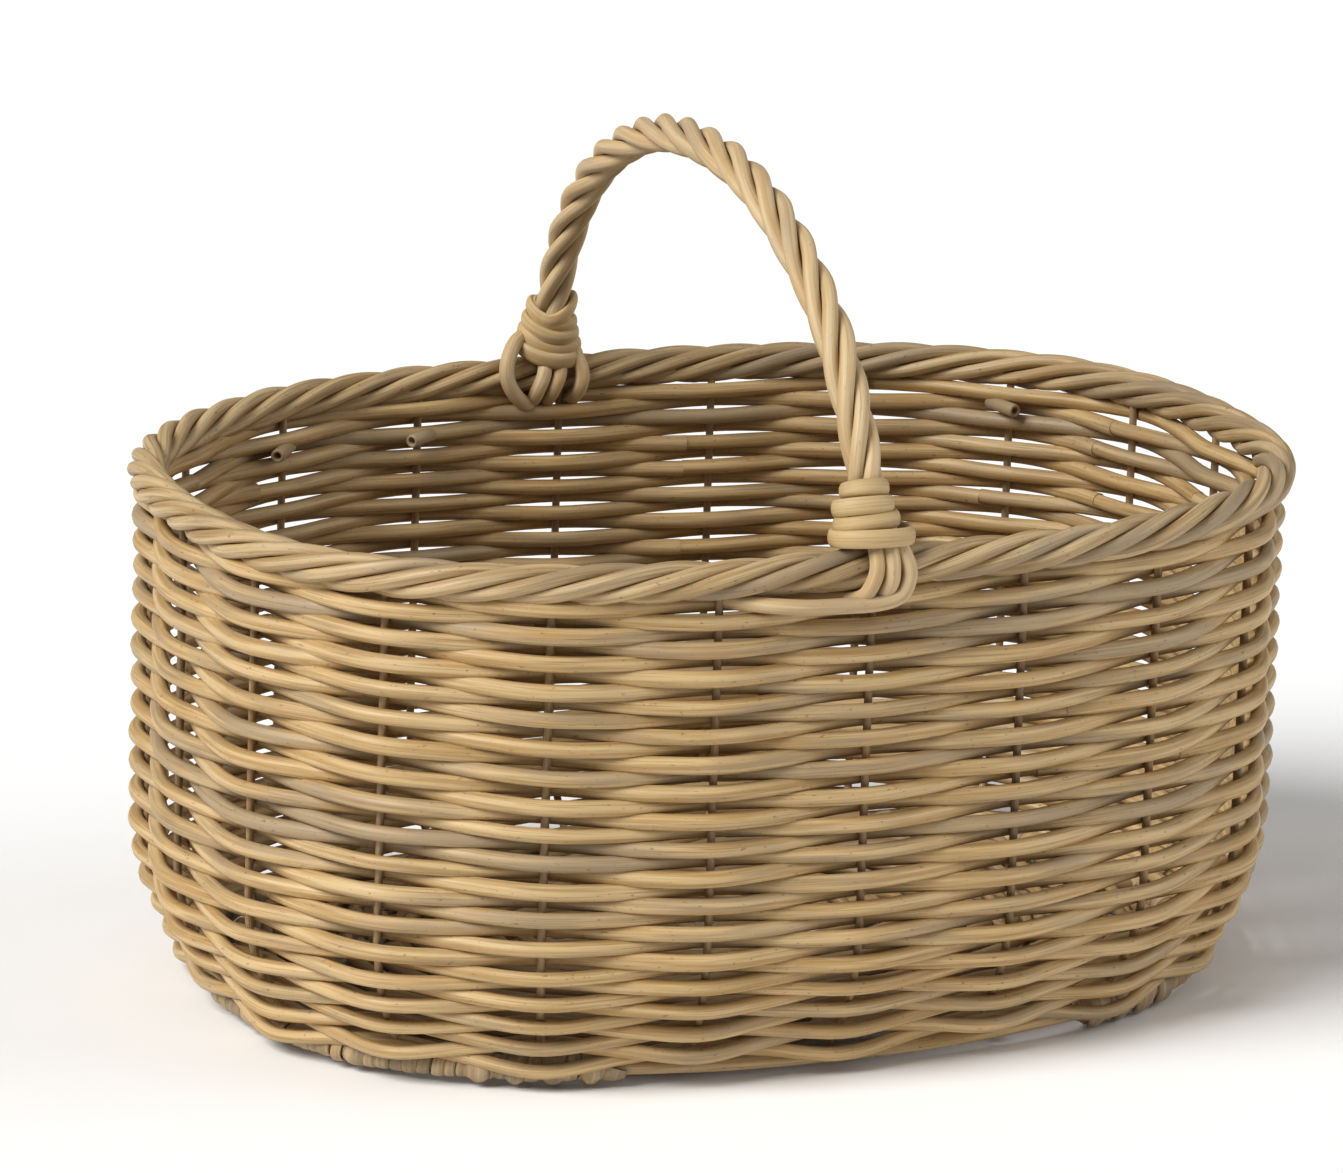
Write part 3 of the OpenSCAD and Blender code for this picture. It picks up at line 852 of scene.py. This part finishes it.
def light_stage():
    """Even surround, key from the left, weaker fill from the right and a pale floor."""
    world = bpy.data.worlds.new("studio")
    bpy.context.scene.world = world
    world.use_nodes = True
    shade = world.node_tree.nodes["Background"]
    shade.inputs["Color"].default_value = rgb(1.0, 1.0, 1.0)
    shade.inputs["Strength"].default_value = 0.32
    sun_light("key", (-0.88, -0.21, 0.82), 3.15, 34)
    sun_light("fill", (0.90, -0.36, 0.42), 1.05, 50)
    floor = bpy.data.meshes.new("floor")
    far = 12.0
    floor.from_pydata([(-far, -far, 0), (far, -far, 0), (far, far, 0), (-far, far, 0)], [],
                      [(0, 1, 2, 3)])
    floor.materials.append(pale_floor())
    ground = bpy.data.objects.new("floor", floor)
    bpy.context.collection.objects.link(ground)


def place_camera():
    """Camera a little to the left of the front and a little above the border."""
    azimuth, elevation = math.radians(-20.4), math.radians(14.0)
    distance, lens = 3.2, 216.2466     # metres and millimetres
    aim = Vector((-0.0172, 0.0, 0.1550))
    back = Vector((math.sin(azimuth) * math.cos(elevation),
                   -math.cos(azimuth) * math.cos(elevation), math.sin(elevation)))
    data = bpy.data.cameras.new("camera")
    data.sensor_width = 36.0
    data.lens = lens
    data.clip_end = 60.0
    camera = bpy.data.objects.new("camera", data)
    camera.location = aim + back * distance
    camera.rotation_euler = (-back).to_track_quat("-Z", "Y").to_euler()
    bpy.context.collection.objects.link(camera)
    bpy.context.scene.camera = camera


# ---------------------------------------------------------------- making
place_camera()
ROD_TREE = rod_tree()
HONEY, WARM, GREY = rgb(0.61, 0.455, 0.245), rgb(0.46, 0.30, 0.125), rgb(0.38, 0.295, 0.19)
weaver_cane = cane("weaver cane", HONEY, WARM, GREY)
border_cane = cane("border cane", rgb(0.57, 0.435, 0.25), rgb(0.41, 0.275, 0.125),
                   rgb(0.34, 0.265, 0.175))
handle_cane = cane("handle cane", rgb(0.61, 0.48, 0.29), rgb(0.52, 0.365, 0.19), rgb(0.44, 0.35, 0.24),
                   speck=0.2, streak=0.5, rough=0.58)
binding_cane = cane("binding cane", rgb(0.58, 0.44, 0.24), rgb(0.51, 0.365, 0.175),
                    rgb(0.44, 0.335, 0.21), speck=0.2, streak=0.6, rough=0.58)
foot_cane = cane("foot cane", rgb(0.50, 0.385, 0.23), rgb(0.40, 0.28, 0.14),
                 rgb(0.27, 0.21, 0.145), speck=0.5, streak=1.0)
stake_cane = cane("stake cane", rgb(0.54, 0.39, 0.22), rgb(0.43, 0.28, 0.13), rgb(0.34, 0.25, 0.15))
base_cane = cane("base cane", rgb(0.44, 0.31, 0.16), rgb(0.34, 0.22, 0.10), rgb(0.27, 0.20, 0.12))
cut_cane = cane("cut cane", rgb(0.42, 0.33, 0.21), rgb(0.31, 0.22, 0.12), rgb(0.22, 0.17, 0.12))

for row, node in enumerate(ROW_NODES):
    lay_rods(node, weaver_rods(row), weaver_cane, [node])
lay_rods("side_stakes", [side_stake(k) for k in range(STAKES)], stake_cane, ["side_stakes"],
         sides=10)
for strand in range(BORDER_RODS):
    node = f"border_rod_{strand + 1}"
    lay_rods(node, [border_rod(strand, turn) for turn in range(BORDER_TWISTS)], border_cane,
             [node])
lay_rods("border_core", [border_core_rod()], base_cane, ["border_core"], sides=8)
for strand in range(STRANDS):
    node = f"handle_strand_{strand + 1}"
    lay_rods(node, [handle_strand(strand)], handle_cane, [node], sides=16)
lay_rods("handle_bow", [handle_bow_rod()], stake_cane, ["handle_bow"], sides=8)
lay_rods("front_neck_binding", [neck_cane(-1, FRONT_TURNS, 7)], binding_cane,
         ["front_neck_binding"], sides=16, flatness=CANE_T / NECK_CANE_W)
lay_rods("back_neck_binding", [neck_cane(1, BACK_TURNS, 9)], binding_cane,
         ["back_neck_binding"], sides=16, flatness=CANE_T / NECK_CANE_W)
lay_rods("base_frame", [base_frame_rod()], weaver_cane, ["base_frame"])
lay_rods("right_foot_binding", foot_wraps(border.length / 4, 0.0052, 0.62, 31), foot_cane,
         ["right_foot_binding"], sides=14, flatness=0.32)
lay_rods("left_foot_binding", foot_wraps(border.length * 3 / 4, 0.0044, 0.28, 47), foot_cane,
         ["left_foot_binding"], sides=14, flatness=0.32)
lay_rods("base_cross_sticks", [cross_stick(k) for k in CROSS_STICKS], base_cane,
         ["base_cross_sticks"])
lay_rods("base_long_sticks", [long_stick(k) for k in LONG_STICKS], base_cane,
         ["base_long_sticks"])
lay_rods("base_weave", [base_round(i) for i in range(BASE_ROUNDS)], base_cane, ["base_weave"],
         sides=10)
cut_ends(cut_cane)
light_stage()
bpy.context.scene.view_settings.view_transform = "Standard"
bpy.context.scene.view_settings.gamma = 0.85
